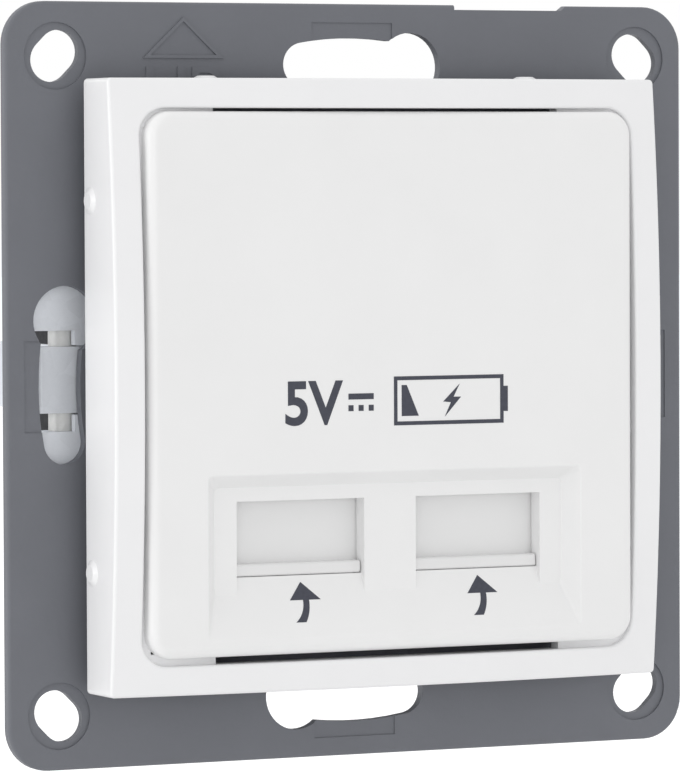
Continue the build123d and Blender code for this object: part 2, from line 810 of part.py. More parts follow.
def make_transformer():
    """Core, bobbin and winding of the transformer, with the winding's axis along X."""
    middle = main_board_front + bobbin_base + winding_side / 2 + bobbin_wall
    window_width = core_width - 2 * core_leg
    window_height = core_height - 2 * core_leg
    tube_side = core_thick + 2 * (slide_gap + bobbin_wall)
    flange_side = winding_side + 2 * bobbin_wall
    winding_length = window_width - 2 * (bobbin_flange + slide_gap)
    low_height = middle - core_thick / 2
    with BuildPart() as core:
        with BuildSketch(at_height(low_height)):
            with Locations((transformer_x, transformer_z)):
                Rectangle(core_width, core_height)
                Rectangle(window_width, window_height, mode=Mode.SUBTRACT)
                Rectangle(window_width, core_thick)
        extrude(amount=core_thick)
    with BuildPart() as bobbin:
        for side in (-1, 1):
            flange_x = transformer_x + side * (winding_length + bobbin_flange) / 2
            with BuildSketch(Plane.YZ.offset(flange_x - bobbin_flange / 2)):
                with Locations((-middle, transformer_z)):
                    Rectangle(flange_side, flange_side)
            extrude(amount=bobbin_flange)
        with BuildSketch(Plane.YZ.offset(transformer_x - winding_length / 2)):
            with Locations((-middle, transformer_z)):
                Rectangle(tube_side, tube_side)
        extrude(amount=winding_length)
        with BuildSketch(at_height(main_board_front)):
            with Locations((transformer_x, transformer_z)):
                Rectangle(core_width, core_height)
        extrude(amount=bobbin_base)
        with BuildSketch(Plane.YZ.offset(transformer_x - window_width / 2)):
            with Locations((-middle, transformer_z)):
                Rectangle(core_thick + 2 * slide_gap, core_thick + 2 * slide_gap)
        extrude(amount=window_width, mode=Mode.SUBTRACT)
    with BuildPart() as winding:
        with BuildSketch(Plane.YZ.offset(transformer_x - winding_length / 2)):
            with Locations((-middle, transformer_z)):
                RectangleRounded(winding_side, winding_side, bobbin_flange)
                Rectangle(tube_side, tube_side, mode=Mode.SUBTRACT)
        extrude(amount=winding_length)
    return core.part, bobbin.part, winding.part


def make_can(place, radius, length):
    """Electrolytic capacitor that stands on the main board, with the groove at its sleeve's foot."""
    with BuildPart() as can:
        with BuildSketch(at_height(main_board_front)):
            with Locations(place):
                Circle(radius)
        extrude(amount=length)
        fillet(can.faces().sort_by(Axis.Y)[0].edges(), can_groove)
        with BuildSketch(at_height(main_board_front + 2 * can_groove)):
            with Locations(place):
                Circle(radius)
                Circle(radius - can_groove, mode=Mode.SUBTRACT)
        extrude(amount=2 * can_groove, mode=Mode.SUBTRACT)
    return can.part


def make_choke():
    """Drum inductor: a ferrite core with a wound waist."""
    with BuildPart() as choke:
        with BuildSketch(at_height(main_board_front)):
            with Locations(choke_place):
                Circle(choke_radius)
        extrude(amount=choke_length)
        with BuildSketch(at_height(main_board_front + choke_flange)):
            with Locations(choke_place):
                Circle(choke_radius)
                Circle(choke_radius - choke_waist, mode=Mode.SUBTRACT)
        extrude(amount=choke_length - 2 * choke_flange, mode=Mode.SUBTRACT)
    return choke.part


def make_fuse_resistor():
    with BuildPart() as fuse:
        with BuildSketch(at_height(main_board_front)):
            with Locations(fuse_place):
                Circle(lead_radius)
        extrude(amount=lead_length)
        with BuildSketch(at_height(main_board_front + lead_length)):
            with Locations(fuse_place):
                Circle(fuse_radius)
        extrude(amount=fuse_length)
        fillet(fuse.faces().filter_by(GeomType.PLANE).sort_by(Axis.Y)[0].edges(), lead_radius)
    return fuse.part


def make_safety_capacitor():
    """Disc capacitor that stands on its two leads."""
    disc_x, disc_z = disc_place
    disc_middle = main_board_front + lead_length + disc_radius
    with BuildPart() as disc:
        with BuildSketch(Plane.XY.offset(disc_z - disc_thick / 2)):
            with Locations((disc_x, -disc_middle)):
                Circle(disc_radius)
        extrude(amount=disc_thick)
        fillet(disc.edges(), disc_edge)
        with BuildSketch(at_height(main_board_front)):
            with GridLocations(disc_lead_pitch, 0, 2, 1):
                with Locations((disc_x, disc_z)):
                    Circle(lead_radius)
        extrude(amount=lead_length + disc_radius)
    return disc.part


def make_chip(size, place, seat):
    """Flat package with a bevelled top, standing on a board face at the given height."""
    width, height, rise = size
    with BuildPart() as chip:
        with BuildSketch(at_height(seat)):
            with Locations(place):
                Rectangle(width, height)
        extrude(amount=rise)
        chamfer(chip.faces().sort_by(Axis.Y)[0].edges(), chip_bevel)
    return chip.part


def make_board_link():
    """Pin row between the two boards and the moulded strip that holds the pins."""
    with BuildPart() as pins:
        with BuildSketch(at_height(main_board_front)):
            with GridLocations(link_pitch, 0, link_count, 1):
                with Locations((0, link_z)):
                    Rectangle(link_pin, link_pin)
        extrude(amount=board_space)
    with BuildPart() as header:
        with BuildSketch(at_height(main_board_front)):
            with Locations((0, link_z)):
                Rectangle(link_count * link_pitch, link_header_height)
            with GridLocations(link_pitch, 0, link_count, 1):
                with Locations((0, link_z)):
                    Rectangle(link_pin + 2 * running_gap, link_pin + 2 * running_gap, mode=Mode.SUBTRACT)
        extrude(amount=link_header_length)
    return pins.part, header.part


def make_terminal(place_x):
    with BuildPart() as terminal:
        with BuildSketch(at_height(wire_mouth)):
            with Locations((place_x, (terminal_top + terminal_bottom) / 2)):
                Rectangle(terminal_width, terminal_top - terminal_bottom)
        extrude(amount=main_board_rear - wire_mouth)
        with BuildSketch(at_height(wire_mouth)):
            with Locations((place_x, wire_z)):
                Circle(wire_radius)
        extrude(amount=wire_depth, mode=Mode.SUBTRACT)
        with BuildSketch(Plane.XY.offset(wire_z)):
            with Locations((place_x, -terminal_depth)):
                Circle(terminal_screw_radius + running_gap)
        extrude(amount=terminal_top - wire_z, mode=Mode.SUBTRACT)
    return terminal.part


def make_terminal_screws():
    tip = wire_z + wire_radius + hole_gap
    with BuildPart() as screws:
        with BuildSketch(Plane.XY.offset(tip)):
            with Locations((-terminal_x, -terminal_depth), (terminal_x, -terminal_depth)):
                Circle(terminal_screw_radius)
        extrude(amount=terminal_screw_top - tip)
        with BuildSketch(Plane.XY.offset(terminal_screw_top - drive_depth)):
            with Locations((-terminal_x, -terminal_depth), (terminal_x, -terminal_depth)):
                Rectangle(2 * terminal_screw_radius, drive_width)
        extrude(amount=drive_depth, mode=Mode.SUBTRACT)
    return screws.part


def make_claw_bracket():
    """Galvanised sheet behind the side slot, with a window for the claw and two tabs that carry its pin."""
    tab_depth = pin_depth + tab_wall
    swing_height = claw_top - claw_bottom + 2 * slide_gap
    with BuildPart() as bracket:
        with BuildSketch(at_height(0)):
            with Locations((-(bracket_outer + bracket_inner) / 2, (bracket_top + bracket_bottom) / 2)):
                RectangleRounded(bracket_outer - bracket_inner, bracket_top - bracket_bottom, bracket_corner)
            with Locations((-(window_outer + window_inner) / 2, (window_top + window_bottom) / 2)):
                Rectangle(window_outer - window_inner, window_top - window_bottom, mode=Mode.SUBTRACT)
            with Locations((-(window_outer + swing_inner) / 2, claw_screw_z)):
                Rectangle(window_outer - swing_inner, swing_height, mode=Mode.SUBTRACT)
            with Locations((-claw_screw_x, claw_screw_z)):
                Circle(claw_screw_radius + running_gap, mode=Mode.SUBTRACT)
            for rivet_z in rivet_zs:
                with Locations((-rivet_x, rivet_z)):
                    Circle(rivet_radius + running_gap, mode=Mode.SUBTRACT)
        extrude(amount=bracket_thick)
        for low_z in (window_top, window_bottom - bracket_thick):
            with BuildSketch(Plane.XY.offset(low_z)):
                with Locations((-pin_x, tab_depth / 2)):
                    Rectangle(tab_width, tab_depth)
                with Locations((-pin_x, pin_depth)):
                    Circle(pin_radius + running_gap, mode=Mode.SUBTRACT)
            extrude(amount=bracket_thick)
    return bracket.part


def make_claw_pin():
    low = window_bottom - bracket_thick
    high = window_top + bracket_thick
    with BuildPart() as pin:
        with BuildSketch(Plane.XY.offset(low)):
            with Locations((-pin_x, pin_depth)):
                Circle(pin_radius)
        extrude(amount=high - low)
        for head in (low - pin_head_height, high):
            with BuildSketch(Plane.XY.offset(head)):
                with Locations((-pin_x, pin_depth)):
                    Circle(pin_head_radius)
            extrude(amount=pin_head_height)
    return pin.part


def make_claw():
    """Folded claw: a knuckle round the pin, a leg along the housing, a toothed toe and a push wing."""
    claw_height = claw_top - claw_bottom
    leg_outer = claw_leg_x + claw_thick
    toe_depth = claw_length + claw_thick
    tooth = claw_height / 4
    with BuildPart() as claw:
        with BuildSketch(Plane.XY.offset(claw_bottom)):
            with Locations((-(knuckle_outer + knuckle_inner) / 2, pin_depth)):
                RectangleRounded(knuckle_outer - knuckle_inner, knuckle_depth, knuckle_corner)
            Polygon(
                (-leg_outer, pin_depth),
                (-claw_leg_x, pin_depth),
                (-claw_leg_x, toe_depth),
                (-leg_outer - claw_toe, toe_depth + claw_thick),
                (-leg_outer - claw_toe, claw_length + claw_thick),
                (-leg_outer, claw_length),
                align=None,
            )
            Polygon(
                (-leg_outer, wing_depth),
                (-wing_tip, wing_depth),
                (-wing_tip, wing_depth + claw_thick),
                (-leg_outer, wing_depth + claw_thick),
                align=None,
            )
            with Locations((-pin_x, pin_depth)):
                Circle(pin_radius + running_gap, mode=Mode.SUBTRACT)
        extrude(amount=claw_height)
        with BuildSketch(Plane.XZ.offset(-toe_depth - 2 * claw_thick)):
            for middle in (claw_bottom + tooth, claw_top - tooth):
                with Locations((-leg_outer - claw_toe, middle)):
                    Polygon((0, -tooth / 2), (tooth_depth, 0), (0, tooth / 2), align=None)
        extrude(amount=3 * claw_thick, mode=Mode.SUBTRACT)
    return claw.part


def make_claw_screw():
    """Claw screw: its tip pushes the wing as it is driven in from the room."""
    underside = plate_front + claw_screw_stand
    tip = -(wing_depth - hole_gap)
    with BuildPart() as screw:
        with BuildSketch(at_height(tip)):
            with Locations((-claw_screw_x, claw_screw_z)):
                Circle(claw_screw_radius)
        extrude(amount=underside - tip)
        with BuildSketch(at_height(underside)):
            with Locations((-claw_screw_x, claw_screw_z)):
                Circle(claw_head_radius)
        extrude(amount=claw_head_height)
        fillet(screw.faces().sort_by(Axis.Y)[0].edges(), claw_head_edge)
        with BuildSketch(at_height(underside + claw_head_height - drive_depth)):
            with Locations((-claw_screw_x, claw_screw_z)):
                Rectangle(2 * claw_head_radius, drive_width)
        extrude(amount=drive_depth, mode=Mode.SUBTRACT)
    return screw.part


def make_bracket_rivets():
    with BuildPart() as rivets:
        for rivet_z in rivet_zs:
            with BuildSketch(at_height(0)):
                with Locations((-rivet_x, rivet_z), (rivet_x, rivet_z)):
                    Circle(rivet_radius)
            extrude(amount=plate_front)
            for head in (-rivet_head_height, plate_front):
                with BuildSketch(at_height(head)):
                    with Locations((-rivet_x, rivet_z), (rivet_x, rivet_z)):
                        Circle(rivet_head_radius)
                extrude(amount=rivet_head_height)
    return rivets.part


# Pieces seen from the room
save(make_support_plate(), "support_plate")
save(make_inner_frame(), "inner_frame")
save(make_centre_plate(), "centre_plate")
save(make_front_chassis(), "front_chassis")
save(make_rear_housing(), "rear_housing")
save(make_chassis_screws(), "chassis_screws")

# Pieces of each port
for hand, port_x in (("left", -port_pitch / 2), ("right", port_pitch / 2)):
    save(make_shutter(port_x), f"shutter_{hand}")
    save(make_shutter_spring(port_x), f"shutter_spring_{hand}")
    save(make_usb_shell(port_x), f"usb_shell_{hand}")
    save(make_usb_tongue(port_x), f"usb_tongue_{hand}")
    save(make_usb_contacts(port_x), f"usb_contacts_{hand}")

# Claws and what carries them
for make_piece, name in (
    (make_claw_bracket, "claw_bracket"),
    (make_claw_pin, "claw_pin"),
    (make_claw, "claw"),
    (make_claw_screw, "claw_screw"),
):
    left_piece = make_piece()
    save(left_piece, f"{name}_left")
    save(mirrored(left_piece), f"{name}_right")
save(make_bracket_rivets(), "bracket_rivets")

# Boards and what stands on them
save(make_board(usb_board_front, housing_inner_width - 2 * board_gap, True), "usb_board")
save(make_board(main_board_front, board_width, False), "main_board")
transformer_names = ("transformer_core", "transformer_bobbin", "transformer_winding")
for piece, name in zip(make_transformer(), transformer_names):
    save(piece, name)
for drop, name in zip(input_can_drops, ("input_capacitor_inner", "input_capacitor_outer")):
    can_place = (board_right - input_can_inset, board_top - drop)
    save(make_can(can_place, input_can_radius, input_can_length), name)
for inset, name in zip(output_can_insets, ("output_capacitor_outer", "output_capacitor_inner")):
    can_place = (inset - board_right, board_top - output_can_drop)
    save(make_can(can_place, output_can_radius, output_can_length), name)
save(make_choke(), "line_choke")
save(make_fuse_resistor(), "fuse_resistor")
save(make_safety_capacitor(), "safety_capacitor")
save(make_chip(bridge_size, bridge_place, main_board_front), "bridge_rectifier")
save(make_chip(controller_size, controller_place, main_board_front), "power_controller")
save(make_chip(port_chip_size, port_chip_place, usb_board_front), "port_controller")
for piece, name in zip(make_board_link(), ("board_link_pins", "board_link_header")):
    save(piece, name)

# Mains terminals
save(make_terminal(-terminal_x), "terminal_line")
save(make_terminal(terminal_x), "terminal_neutral")
save(make_terminal_screws(), "terminal_screws")
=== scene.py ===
"""Looks of a twin charging socket for a flush wall box.

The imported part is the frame. This file gives every solid its finish and adds what the solids leave out:
the printed marks, the raised letters, the coil springs behind the shutters and a plain studio stage.
"""
import json
from math import asin, pi, radians

import bmesh
import bpy
from bpy.props import FloatProperty, FloatVectorProperty, PointerProperty
from bpy.types import Operator, Panel, PropertyGroup
from mathutils import Matrix, Quaternion, Vector


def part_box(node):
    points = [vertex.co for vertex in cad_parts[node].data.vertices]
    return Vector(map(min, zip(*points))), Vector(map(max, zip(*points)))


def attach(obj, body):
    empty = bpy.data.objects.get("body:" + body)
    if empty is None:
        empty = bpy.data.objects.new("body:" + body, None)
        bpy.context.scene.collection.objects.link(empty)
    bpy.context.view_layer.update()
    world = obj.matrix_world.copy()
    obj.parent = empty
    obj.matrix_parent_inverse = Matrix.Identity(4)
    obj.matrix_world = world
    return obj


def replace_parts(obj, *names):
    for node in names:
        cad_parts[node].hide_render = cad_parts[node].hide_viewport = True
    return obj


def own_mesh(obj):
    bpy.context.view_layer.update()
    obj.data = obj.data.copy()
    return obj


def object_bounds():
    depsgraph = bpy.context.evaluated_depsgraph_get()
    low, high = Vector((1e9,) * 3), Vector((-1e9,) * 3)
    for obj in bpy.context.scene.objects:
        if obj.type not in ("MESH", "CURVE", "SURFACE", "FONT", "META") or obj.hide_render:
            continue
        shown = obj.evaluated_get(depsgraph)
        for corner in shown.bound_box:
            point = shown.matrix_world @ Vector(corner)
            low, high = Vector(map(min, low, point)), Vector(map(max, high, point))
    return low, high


bl_info = {
    "name": "Wall Socket Looks",
    "version": (1, 0, 0),
    "blender": (4, 5, 0),
    "location": "View3D > Sidebar > Socket",
    "description": "Finishes, marks, springs and stage of a twin charging socket",
    "category": "Object",
}

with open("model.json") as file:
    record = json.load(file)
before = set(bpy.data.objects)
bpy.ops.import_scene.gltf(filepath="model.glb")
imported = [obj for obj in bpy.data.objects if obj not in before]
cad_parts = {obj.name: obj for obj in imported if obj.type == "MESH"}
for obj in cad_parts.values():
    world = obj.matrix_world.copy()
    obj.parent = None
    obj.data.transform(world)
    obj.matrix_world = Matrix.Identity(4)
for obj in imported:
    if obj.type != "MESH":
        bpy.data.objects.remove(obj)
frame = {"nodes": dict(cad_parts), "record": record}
cad_low, cad_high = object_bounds()

MM = 0.001
SIDES = ("left", "right")
SLOT_OF = {part["node"]: part["material_slot"] for part in frame["record"]["subparts"]}

# Most of a pattern's values lie between these two
PATTERN_LOW = 0.3
PATTERN_HIGH = 0.7

# Steps along a letter's curves, and the share by which plain strokes are widened
LETTER_STEPS = 6
LETTER_WEIGHT = 0.01

# Points nearer to each other than this are one
MERGE_REACH = 1e-7


def screen(red, green, blue):
    """Colour as read off a screen, 0 to 255, as the linear values that a shader takes."""
    def linear(value):
        share = value / 255
        return share / 12.92 if share <= 0.04045 else ((share + 0.055) / 1.055) ** 2.4
    return linear(red), linear(green), linear(blue)


def colour_prop(name, description, default):
    return FloatVectorProperty(
        name=name, description=description, default=default, size=3, min=0.0, max=1.0, subtype="COLOR"
    )


def length_prop(name, description, default):
    return FloatProperty(name=name, description=description, default=default, unit="LENGTH", precision=5)


def angle_prop(name, description, degrees):
    return FloatProperty(name=name, description=description, default=radians(degrees), subtype="ANGLE")


class SocketColours(PropertyGroup):
    """Colours of the finishes."""
    plate: colour_prop("Support plate", "Dark grey moulded plate", screen(110, 112, 118))
    frame: colour_prop("Inner frame", "White moulded frame", screen(238, 238, 239))
    face: colour_prop("Centre plate", "White moulded face", screen(236, 236, 236))
    shutter: colour_prop("Shutters", "Pale grey shutters", screen(228, 228, 228))
    ink: colour_prop("Print", "Dark grey printing ink", screen(70, 72, 82))
    zinc: colour_prop("Zinc", "Galvanised sheet", screen(223, 226, 231))
    housing: colour_prop("Housing", "Black moulded housing", screen(40, 41, 44))
    brass: colour_prop("Brass", "Terminal brass", screen(218, 186, 120))
    board: colour_prop("Boards", "Green solder mask", screen(24, 92, 52))


class SocketMarks(PropertyGroup):
    """Sizes of the printed and raised marks."""
    film: length_prop("Ink film", "Thickness of the print", 0.02 * MM)
    sign_height: length_prop("Rating height", "Height of the rating's figures", 4.1 * MM)
    sign_weight: length_prop("Rating stroke", "Stroke of the current sign", 0.55 * MM)
    cell_width: length_prop("Battery width", "Width of the battery outline", 11.45 * MM)
    cell_height: length_prop("Battery height", "Height of the battery outline", 4.53 * MM)
    cell_stroke: length_prop("Battery stroke", "Stroke of the battery outline", 0.36 * MM)
    arrow_width: length_prop("Arrow width", "Width of an arrow's head", 3.15 * MM)
    arrow_head: length_prop("Arrow head", "Height of an arrow's head", 1.75 * MM)
    arrow_stem: length_prop("Arrow stem", "Height of an arrow's curved stem", 2.16 * MM)
    letter_rise: length_prop("Letter rise", "How far moulded letters stand proud", 0.12 * MM)


class SocketStage(PropertyGroup):
    """Camera, lamps and floor."""
    azimuth: angle_prop("Azimuth", "Camera's turn round the socket", -26.208)
    elevation: angle_prop("Elevation", "Camera's height above level", 2.108)
    roll: angle_prop("Roll", "Camera's own turn", -0.245)
    distance: length_prop("Distance", "From the camera to its aim", 536.15 * MM)
    lens: FloatProperty(name="Lens", description="Focal length in millimetres", default=266.77, min=1.0)
    aim: FloatVectorProperty(
        name="Aim",
        description="Point that the camera looks at",
        default=(-1.18 * MM, -1.347 * MM, -0.485 * MM),
        subtype="TRANSLATION",
        unit="LENGTH",
    )
    ambient: FloatProperty(name="Ambient", description="Even light from all round", default=0.9, min=0.0)
    floor_drop: length_prop("Floor drop", "Floor below the support plate", 25.0 * MM)


class Finish:
    """Node material in the making. Its patterns follow the piece's own coordinates, in metres."""

    def __init__(self, name, colour, roughness, metallic=0.0, specular=0.5):
        self.material = bpy.data.materials.new(name)
        self.material.use_nodes = True
        self.tree = self.material.node_tree
        self.shader = self.tree.nodes["Principled BSDF"]
        self.colour = colour
        self.roughness = roughness
        self.shader.inputs["Base Color"].default_value = (*colour, 1.0)
        self.shader.inputs["Roughness"].default_value = roughness
        self.shader.inputs["Metallic"].default_value = metallic
        self.shader.inputs["Specular IOR Level"].default_value = specular
        self.place = self.add("ShaderNodeTexCoord", {}).outputs["Object"]

    def feed(self, socket, value):
        if isinstance(value, bpy.types.NodeSocket):
            self.tree.links.new(value, socket)
        else:
            socket.default_value = value

    def add(self, kind, inputs, **settings):
        """Adds a node. An input is fed a plain value or another node's output."""
        node = self.tree.nodes.new(kind)
        for name, value in settings.items():
            setattr(node, name, value)
        for key, value in inputs.items():
            self.feed(node.inputs[key], value)
        return node

    def coordinates(self, size, stretch=(1.0, 1.0, 1.0), centre=(0.0, 0.0, 0.0)):
        """Coordinates in which a pattern's cells are size metres wide, longer where the stretch is small."""
        scale = [share / size for share in stretch]
        moved = self.add("ShaderNodeVectorMath", {0: self.place, 1: centre}, operation="SUBTRACT")
        return self.add("ShaderNodeMapping", {"Vector": moved.outputs[0], "Scale": scale}).outputs[0]

    def noise(self, size, detail=2.0, stretch=(1.0, 1.0, 1.0)):
        inputs = {"Vector": self.coordinates(size, stretch), "Scale": 1.0, "Detail": detail}
        return self.add("ShaderNodeTexNoise", inputs).outputs[0]

    def cells(self, size):
        """Random grey for each of a sheet of cells, such as the grains of a zinc coat."""
        inputs = {"Vector": self.coordinates(size), "Scale": 1.0}
        return self.add("ShaderNodeTexVoronoi", inputs).outputs["Color"]

    def math(self, operation, first, second=0.0):
        return self.add("ShaderNodeMath", {0: first, 1: second}, operation=operation).outputs[0]

    def between(self, factor, low, high):
        """Maps the middle of a pattern's values to a range."""
        inputs = {
            "Value": factor,
            "From Min": PATTERN_LOW,
            "From Max": PATTERN_HIGH,
            "To Min": low,
            "To Max": high,
        }
        return self.add("ShaderNodeMapRange", inputs).outputs[0]

    def ramp(self, factor, stops):
        """Colour through (place, colour) stops."""
        node = self.add("ShaderNodeValToRGB", {"Fac": factor})
        elements = node.color_ramp.elements
        while len(elements) < len(stops):
            elements.new(1.0)
        for element, (place, colour) in zip(elements, stops):
            element.position = place
            element.color = (*colour, 1.0)
        return node.outputs["Color"]

    def shade(self, share):
        return [min(1.0, value * share) for value in self.colour]

    def paint(self, colour):
        self.feed(self.shader.inputs["Base Color"], colour)

    def mottle(self, factor, spread):
        """Lets the colour drift a little, lighter and darker."""
        stops = [(PATTERN_LOW, self.shade(1 - spread)), (PATTERN_HIGH, self.shade(1 + spread))]
        self.paint(self.ramp(factor, stops))

    def vary_gloss(self, factor, spread):
        rough = self.between(factor, self.roughness - spread, self.roughness + spread)
        self.feed(self.shader.inputs["Roughness"], rough)

    def bump(self, height, depth):
        node = self.add("ShaderNodeBump", {"Height": height, "Distance": depth})
        self.feed(self.shader.inputs["Normal"], node.outputs[0])


def moulded(name, colour, roughness, grain, depth, specular=0.4, drift=0.008):
    """Injection-moulded plastic: the fine eroded grain of its tool, and a slow drift of its colour."""
    finish = Finish(name, colour, roughness, specular=specular)
    fine = finish.noise(grain, detail=3.0)
    finish.mottle(finish.noise(size=7 * MM), spread=drift)
    finish.vary_gloss(fine, spread=0.06)
    finish.bump(fine, depth)
    return finish.material


def galvanised(name, colour):
    """Zinc-coated sheet: faint crystal grains under a matt passivated film."""
    finish = Finish(name, colour, roughness=0.6, metallic=0.45)
    finish.mottle(finish.cells(size=1.6 * MM), spread=0.025)
    film = finish.noise(size=0.3 * MM, detail=4.0)
    finish.vary_gloss(film, spread=0.08)
    finish.bump(film, depth=0.001 * MM)
    return finish.material


def drawn_metal(name, colour, roughness, along):
    """Turned, rolled or drawn metal whose fine lines run along the axis given as the small share."""
    finish = Finish(name, colour, roughness, metallic=1.0)
    lines = finish.noise(size=0.12 * MM, detail=3.0, stretch=along)
    finish.mottle(lines, spread=0.08)
    finish.vary_gloss(lines, spread=0.08)
    finish.bump(lines, depth=0.001 * MM)
    return finish.material


def solder_mask(name, colour):
    """Circuit board: lacquer over a pattern of tracks, paler where it lies on a track."""
    tracks_per_metre = 260.0
    contrast = 0.25
    finish = Finish(name, colour, roughness=0.32)
    turned = finish.add("ShaderNodeMapping", {"Vector": finish.place, "Rotation": (pi / 2, 0.0, 0.0)})
    inputs = {
        "Vector": turned.outputs[0],
        "Scale": tracks_per_metre,
        "Mortar Size": 0.06,
        "Mortar Smooth": 0.2,
    }
    tracks = finish.add("ShaderNodeTexBrick", inputs).outputs["Fac"]
    stops = [(0.2, finish.shade(1 - contrast)), (0.8, finish.shade(1 + contrast))]
    finish.paint(finish.ramp(tracks, stops))
    finish.vary_gloss(finish.noise(size=1.2 * MM), spread=0.05)
    finish.bump(tracks, depth=0.02 * MM)
    return finish.material


def sintered(name, colour):
    """Pressed and fired ferrite, dark with fine pits."""
    finish = Finish(name, colour, roughness=0.62)
    pits = finish.noise(size=0.25 * MM, detail=5.0)
    finish.mottle(pits, spread=0.3)
    finish.bump(pits, depth=0.01 * MM)
    return finish.material


def taped_winding(name, colour):
    """Winding under turns of thin tape, with the wire's ridges showing through."""
    finish = Finish(name, colour, roughness=0.3)
    inputs = {"Vector": finish.coordinates(size=1.2 * MM), "Scale": 1.0, "Distortion": 0.4}
    ridges = finish.add("ShaderNodeTexWave", inputs).outputs["Fac"]
    finish.mottle(ridges, spread=0.12)
    finish.vary_gloss(finish.noise(size=1.5 * MM), spread=0.06)
    finish.bump(ridges, depth=0.03 * MM)
    return finish.material


def sleeved_can(name, colour, node):
    """Electrolytic can: dark sleeve with a pale polarity stripe, and a bare metal end.

    The stripe's edge and the bare end's rim are shares of the can's radius.
    """
    stripe_edge = -0.8
    end_rim = 0.82
    end_depth = 0.3 * MM
    low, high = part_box(node)
    middle = (low + high) / 2
    radius = (high.x - low.x) / 2
    finish = Finish(name, colour, roughness=0.33)
    inputs = {"Vector": finish.coordinates(radius, centre=middle)}
    across = finish.add("ShaderNodeSeparateXYZ", inputs).outputs
    stripe = finish.math("LESS_THAN", across["X"], stripe_edge)
    flat = finish.add("ShaderNodeCombineXYZ", {"X": across["X"], "Z": across["Z"]}).outputs[0]
    reach = finish.add("ShaderNodeVectorMath", {0: flat}, operation="LENGTH").outputs["Value"]
    front = finish.math("LESS_THAN", across["Y"], (low.y - middle.y + end_depth) / radius)
    end = finish.math("MULTIPLY", front, finish.math("LESS_THAN", reach, end_rim))
    kind = finish.math("MAXIMUM", finish.math("MULTIPLY", stripe, 0.5), end)
    aluminium = screen(205, 206, 208)
    pale = screen(190, 192, 196)
    finish.paint(finish.ramp(kind, [(0.0, colour), (0.5, pale), (1.0, aluminium)]))
    finish.feed(finish.shader.inputs["Metallic"], end)
    finish.vary_gloss(finish.noise(size=0.8 * MM), spread=0.06)
    finish.bump(finish.noise(size=0.5 * MM), depth=0.003 * MM)
    return finish.material


def banded_coat(name, colour, node):
    """Lacquered fuse resistor with its painted bands, spaced in shares of its length."""
    bands = [screen(150, 40, 30), screen(30, 30, 30), screen(200, 160, 60)]
    band_pitch = 0.2
    band_width = 0.07
    low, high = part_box(node)
    finish = Finish(name, colour, roughness=0.4)
    along = finish.add("ShaderNodeSeparateXYZ", {"Vector": finish.place}).outputs["Y"]
    inputs = {"Value": along, "From Min": low.y, "From Max": high.y}
    share = finish.add("ShaderNodeMapRange", inputs).outputs[0]
    stops = [(0.0, colour)]
    for number, band in enumerate(bands, start=1):
        start = band_pitch * number
        stops += [(start, band), (start + band_width, colour)]
    painted = finish.ramp(share, stops)
    painted.node.color_ramp.interpolation = "CONSTANT"
    finish.paint(painted)
    finish.vary_gloss(finish.noise(size=0.6 * MM), spread=0.08)
    finish.bump(finish.noise(size=0.9 * MM), depth=0.01 * MM)
    return finish.material


def dipped_coat(name, colour):
    """Thick dipped lacquer with a slightly wavy skin."""
    finish = Finish(name, colour, roughness=0.35)
    finish.mottle(finish.noise(size=2.5 * MM), spread=0.1)
    finish.vary_gloss(finish.noise(size=0.7 * MM), spread=0.06)
    finish.bump(finish.noise(size=1.2 * MM), depth=0.02 * MM)
    return finish.material


def printed(name, colour):
    """Screen-printed ink with the faint mesh of its screen."""
    finish = Finish(name, colour, roughness=0.5, specular=0.25)
    finish.mottle(finish.noise(size=0.35 * MM, detail=3.0), spread=0.08)
    finish.vary_gloss(finish.noise(size=0.2 * MM), spread=0.05)
    finish.bump(finish.noise(size=0.15 * MM), depth=0.002 * MM)
    return finish.material


def dress(slot, make_finish, *values, **settings):
    """Makes a finish named for a slot, and gives it to every solid that the record lists there."""
    material = make_finish(slot, *values, **settings)
    for node, node_slot in SLOT_OF.items():
        if node_slot == slot:
            dress_node(node, material)


def dress_node(node, material):
    mesh = frame["nodes"][node].data
    mesh.materials.clear()
    mesh.materials.append(material)


def front_place(height):
    """Place of a drawing that faces the room, at a height in front of the wall plane."""
    return Matrix.Translation((0.0, -height, 0.0)) @ Matrix.Rotation(pi / 2, 4, "X")


def rear_place(depth):
    """Place of a drawing that faces into the wall box."""
    turn = Matrix.Rotation(pi, 4, "Z") @ Matrix.Rotation(pi / 2, 4, "X")
    return Matrix.Translation((0.0, depth, 0.0)) @ turn


def add_outline(bm, points):
    """Adds a flat face from a few corner points."""
    return bm.faces.new([bm.verts.new((x, y, 0.0)) for x, y in points])


def add_plate(bm, left, bottom, width, height):
    """Adds a flat rectangle from its lower left corner."""
    made = bmesh.ops.create_grid(bm, x_segments=1, y_segments=1, size=0.5)["verts"]
    bmesh.ops.scale(bm, vec=(width, height, 1.0), verts=made)
    bmesh.ops.translate(bm, vec=(left + width / 2, bottom + height / 2, 0.0), verts=made)
    return made


